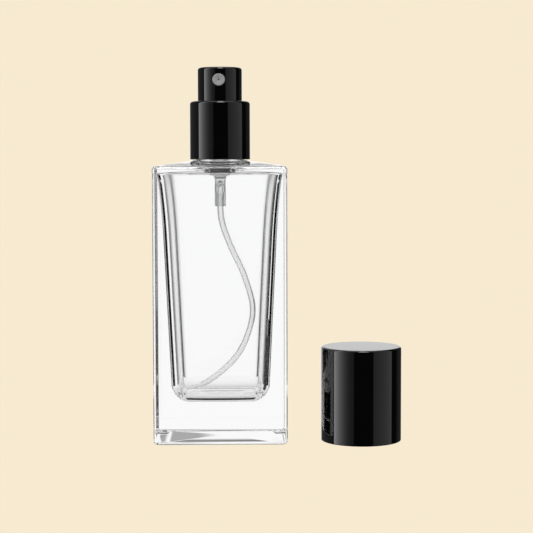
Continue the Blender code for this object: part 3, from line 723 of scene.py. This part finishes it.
def make_collar():
    x, y, radius, bottom, top = span("collar")
    inner = radius - COLLAR_WALL
    hole_edge = COLLAR_HOLE + COLLAR_HOLE_FILLET
    profile = arc(hole_edge, top - COLLAR_HOLE_FILLET, COLLAR_HOLE_FILLET, 180, 90, 4)
    profile += arc(radius - COLLAR_FILLET, top - COLLAR_FILLET, COLLAR_FILLET, 90, 0, 12)
    profile += foot_arc(radius, bottom)
    profile += [(inner, bottom), (inner, top - COLLAR_ROOF), (COLLAR_HOLE, top - COLLAR_ROOF)]
    piece = turned("collar_sleeve", profile, gloss_black_material("collar_black"), x, y)
    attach(piece, "bottle")
    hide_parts("collar")


# ---------------------------------------------------------------- button and cap

BUTTON_TURN = math.radians(-2.75)
BUTTON_FILLET = 0.8 * MM
BUTTON_WALL = 0.6 * MM
BUTTON_ROOF = 0.8 * MM
WINDOW_GAP = 0.1 * MM
INSERT_LENGTH = 2.2 * MM
INSERT_RECESS = 0.15 * MM
INSERT_FILLET = 0.4 * MM
INSERT_WALL = 0.7 * MM
INSERT_FLOOR = 1.4 * MM
ORIFICE_RADIUS = 0.22 * MM
ORIFICE_MOUTH_RADIUS = 0.36 * MM
ORIFICE_DEPTH = 0.55 * MM
ORIFICE_MOUTH_DEPTH = 0.48 * MM
CAP_FILLET = 0.7 * MM
CAP_FOOT_FILLET = 0.3 * MM
CAP_WALL = 0.9 * MM
CAP_ROOF = 0.9 * MM


def facing_nozzle(obj, z):
    """Turns obj, built along +Z, so that it points the way the nozzle sprays, at height z."""
    turn = Matrix.Rotation(BUTTON_TURN, 4, "Z") @ Matrix.Rotation(math.radians(90), 4, "X")
    obj.matrix_world = Matrix.Translation((0.0, 0.0, z)) @ turn


def pierce(mesh, radius, reach, z):
    """The mesh with a round hole through its front wall, from half the reach out to twice the reach."""
    collection = bpy.context.scene.collection
    whole = bpy.data.objects.new("whole", mesh)
    profile = [(0.0, 2 * reach), (radius, 2 * reach), (radius, 0.5 * reach), (0.0, 0.5 * reach)]
    drill_mesh = turned_mesh("drill", profile, closed=False, steps=SMALL_ROUND_STEPS)
    drill = bpy.data.objects.new("drill", drill_mesh)
    collection.objects.link(whole)
    collection.objects.link(drill)
    facing_nozzle(drill, z)
    hole = whole.modifiers.new("Hole", "BOOLEAN")
    hole.object = drill
    hole.operation = "DIFFERENCE"
    hole.solver = "EXACT"
    bpy.context.view_layer.update()
    cut = whole.evaluated_get(bpy.context.evaluated_depsgraph_get())
    pierced = bpy.data.meshes.new_from_object(cut)
    for spare in (whole, drill):
        spare_mesh = spare.data
        bpy.data.objects.remove(spare)
        bpy.data.meshes.remove(spare_mesh)
    return pierced


def cup_profile(radius, bottom, top, fillet, wall, roof, foot):
    """An upturned cup: over its roof and down its side, then its foot's edge, and up its hollow."""
    inner = radius - wall
    profile = [(0.0, top)] + arc(radius - fillet, top - fillet, fillet, 90, 0, 12) + foot
    return profile + [(inner, bottom), (inner, top - roof), (0.0, top - roof)]


def nozzle_size():
    """The radius of the spray insert and the height of its middle."""
    low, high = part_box("nozzle_insert")
    return (high.z - low.z) / 2, (low.z + high.z) / 2


def make_button():
    """The button's cup, with a round window for the nozzle."""
    radius, bottom, top = span("actuator_shell")[2:]
    foot = foot_arc(radius, bottom)
    profile = cup_profile(radius, bottom, top, BUTTON_FILLET, BUTTON_WALL, BUTTON_ROOF, foot)
    nozzle, nozzle_z = nozzle_size()
    mesh = pierce(turned_mesh("button_cup", profile, closed=False), nozzle + WINDOW_GAP, radius, nozzle_z)
    mesh.name = "button_cup"
    piece = link("button_cup", mesh, gloss_black_material("button_black"))
    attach(piece, "button")
    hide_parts("actuator_shell")


def make_spray_insert():
    """The pale round insert in the button's window, with its orifice."""
    radius, middle = nozzle_size()
    front = span("actuator_shell")[2] - INSERT_RECESS
    back = front - INSERT_LENGTH
    floor = back + INSERT_FLOOR
    profile = [
        (ORIFICE_RADIUS, floor),
        (ORIFICE_RADIUS, front - ORIFICE_DEPTH),
        (ORIFICE_MOUTH_RADIUS, front - ORIFICE_MOUTH_DEPTH),
    ]
    profile += arc(radius - INSERT_FILLET, front - INSERT_FILLET, INSERT_FILLET, 105, 0, 8)
    profile += [(radius, back), (radius - INSERT_WALL, back), (radius - INSERT_WALL, floor)]
    grey = satin_material("nozzle_grey", (0.34, 0.34, 0.35), (0.40, 0.40, 0.41), 0.4)
    insert = link("spray_insert", turned_mesh("spray_insert", profile, steps=SMALL_ROUND_STEPS), grey)
    facing_nozzle(insert, middle)
    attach(insert, "button")
    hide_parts("nozzle_insert")


def make_cap():
    x, y, radius, bottom, top = span("cap_shell")
    foot = foot_arc(radius, bottom, CAP_FOOT_FILLET, 6)
    profile = cup_profile(radius, bottom, top, CAP_FILLET, CAP_WALL, CAP_ROOF, foot)
    piece = turned("cap_cup", profile, gloss_black_material("cap_black"), x, y, closed=False)
    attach(piece, "cap")
    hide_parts("cap_shell")


# ---------------------------------------------------------------- pump

HOUSING_RADIUS = 3.15 * MM
HOUSING_FOOT_FILLET = 0.25 * MM
FLANGE_HEIGHT = 0.8 * MM
CHAMBER_RADIUS = 2.45 * MM
CHAMBER_CHAMFER = 0.2 * MM
NOSE_RADIUS = 1.65 * MM
NOSE_FILLET = 0.1 * MM
TUBE_SOCKET_RADIUS = 1.005 * MM
THROAT_RADIUS = 0.6 * MM
WELL_RADIUS = 1.25 * MM

# Heights above the end of the nose
TUBE_STOP_RISE = 4.15 * MM
SEAT_RISE = 5.65 * MM
WELL_FLOOR_RISE = 6.35 * MM
NOSE_RISE = 7.75 * MM
HOUSING_FOOT_RISE = 9.05 * MM
CHAMBER_FLOOR_RISE = 9.75 * MM

TUBE_RADIUS = 0.925 * MM
TUBE_BORE = 0.625 * MM
TUBE_STEP = 1.0 * MM

# The middle of the dip tube, as x and z in millimetres
TUBE_ROUTE = (
    (0.0, 73.0),
    (0.0, 69.0),
    (0.6, 64.0),
    (3.2, 57.0),
    (7.1, 48.5),
    (9.8, 39.0),
    (8.5, 31.4),
    (4.5, 23.7),
    (-2.5, 17.3),
    (-8.8, 13.9),
)


def make_housing():
    """Flange, cylinder, cone and nose of frosted plastic, hollow from end to end."""
    x, y, flange, bottom, top = span("pump_housing")
    foot = bottom + HOUSING_FOOT_RISE
    neck = bottom + NOSE_RISE
    chamber_floor = bottom + CHAMBER_FLOOR_RISE
    fillet = HOUSING_FOOT_FILLET
    profile = [(CHAMBER_RADIUS, top - CHAMBER_CHAMFER), (CHAMBER_RADIUS + CHAMBER_CHAMFER, top)]
    profile += arc(flange - SMALL_FILLET, top - SMALL_FILLET, SMALL_FILLET, 90, 0, 4)
    profile += [(flange, top - FLANGE_HEIGHT), (HOUSING_RADIUS, top - FLANGE_HEIGHT)]
    profile += arc(HOUSING_RADIUS - fillet, foot + fillet, fillet, 0, -70, 5)
    profile += [
        (HOUSING_RADIUS - 0.85 * MM, foot - 0.3 * MM),
        (NOSE_RADIUS + 0.1 * MM, neck + 0.3 * MM),
        (NOSE_RADIUS, neck),
    ]
    profile += foot_arc(NOSE_RADIUS, bottom, NOSE_FILLET, 3)
    profile += [
        (TUBE_SOCKET_RADIUS, bottom),
        (TUBE_SOCKET_RADIUS, bottom + TUBE_STOP_RISE),
        (THROAT_RADIUS, bottom + TUBE_STOP_RISE),
        (THROAT_RADIUS, bottom + SEAT_RISE),
        (WELL_RADIUS, bottom + WELL_FLOOR_RISE),
        (WELL_RADIUS, chamber_floor),
        (CHAMBER_RADIUS, chamber_floor),
    ]
    tints = ((0.965, 0.97, 0.97), (0.985, 0.99, 0.99))
    frosted = satin_material("frosted_plastic", *tints, 0.10, grain=1500.0, transmission=0.9, ior=1.35)
    piece = turned("housing_skin", profile, frosted, x, y, steps=96)
    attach(piece, "bottle")
    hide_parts("pump_housing")


def make_dip_tube():
    """A thin milky tube that wanders from the nose of the pump to the lower left corner of the cavity."""
    corners = [Vector((x * MM, 0.0, z * MM)) for x, z in TUBE_ROUTE]
    mesh = tube_mesh("dip_tube_skin", smooth_route(corners, TUBE_STEP), (TUBE_RADIUS, TUBE_BORE))
    tints = ((0.98, 0.98, 0.98), (0.995, 0.995, 0.995))
    milky = satin_material("tube_plastic", *tints, 0.08, grain=1500.0, transmission=0.92, ior=1.3)
    piece = link("dip_tube_skin", mesh, milky)
    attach(piece, "bottle")
    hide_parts("dip_tube")


# ---------------------------------------------------------------- springs

COIL_STEPS_PER_TURN = 40
WIRE_SIDES = 12
CLOSED_PITCH = 2.2

# Piece, node, body, joint and slot; then wire radius, open turns, travel, and whether the top stays put
RETURN_SPRING = ("return_coil", "return_spring", "bottle", "pump_stroke", "spring_steel")
PRELOAD_SPRING = ("preload_coil", "preload_spring", "plunger", "piston_slip", "preload_steel")
SPRINGS = (
    (*RETURN_SPRING, 0.2 * MM, 3, 4.6 * MM, False),
    (*PRELOAD_SPRING, 0.12 * MM, 2, 0.5 * MM, True),
)


def coil(radius, wire, bottom, top, open_turns):
    """The middle line of a spring with one closed turn at each end, whose pitch is in wire radii."""
    low = bottom + wire
    height = top - wire - low
    closed = CLOSED_PITCH * wire
    turns = open_turns + 2
    count = COIL_STEPS_PER_TURN * turns
    points = []
    for i in range(count + 1):
        turn = i * turns / count
        if turn < 1.0:
            rise = closed * turn
        elif turn > turns - 1:
            rise = height - closed * (turns - turn)
        else:
            rise = closed + (height - 2 * closed) * (turn - 1) / open_turns
        angle = math.tau * turn
        points.append(Vector((radius * math.cos(angle), radius * math.sin(angle), low + rise)))
    return points


def make_springs():
    """Both springs are wire coils, each carried by its body."""
    for name, node, body, joint, slot, wire, open_turns, travel, top_stays in SPRINGS:
        outer, bottom, top = span(node)[2:]
        route = coil(outer - wire, wire, bottom, top, open_turns)
        steel = metal_material(slot, (0.60, 0.59, 0.57), (0.75, 0.74, 0.72), 0.22, stretch=8.0)
        piece = link(name, tube_mesh(name, route, (wire,), sides=WIRE_SIDES), steel)
        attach(piece, body)
        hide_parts(node)
        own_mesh(piece)


# ---------------------------------------------------------------- pieces carried over from the frame


def finish_carried_pieces():
    """The pieces inside the pump and the cap keep the frame's shapes and get their own finishes."""
    black = ((0.010, 0.010, 0.011), (0.018, 0.018, 0.019))
    finishes = {
        "neck_gasket": satin_material("gasket_rubber", (0.50, 0.50, 0.48), (0.58, 0.58, 0.56), 0.6),
        "stem_gasket": satin_material("seal_rubber", (0.02, 0.02, 0.02), (0.04, 0.04, 0.04), 0.5),
        "crimp_ferrule": metal_material("aluminium", (0.80, 0.80, 0.81), (0.88, 0.88, 0.89), 0.28),
        "turret": satin_material("turret_plastic", (0.78, 0.78, 0.76), (0.85, 0.85, 0.83), 0.35),
        "stem": satin_material("stem_plastic", (0.76, 0.77, 0.77), (0.84, 0.85, 0.85), 0.3),
        "valve_core": satin_material("valve_plastic", (0.70, 0.72, 0.72), (0.80, 0.82, 0.82), 0.3),
        "piston": satin_material("piston_plastic", (0.76, 0.76, 0.75), (0.86, 0.86, 0.85), 0.35),
        "actuator_core": satin_material("core_black", *black, 0.4),
        "cap_liner": satin_material("liner_black", *black, 0.4),
        "inlet_ball": metal_material("ball_steel", (0.62, 0.61, 0.60), (0.72, 0.71, 0.70), 0.15, stretch=1.0),
    }
    for node, material in finishes.items():
        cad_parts[node].data.materials[0] = material


# ---------------------------------------------------------------- build the scene

make_camera()
make_world()
make_floor()
set_light_paths()
make_glass()
make_collar()
make_button()
make_spray_insert()
make_cap()
make_housing()
make_dip_tube()
make_springs()
finish_carried_pieces()
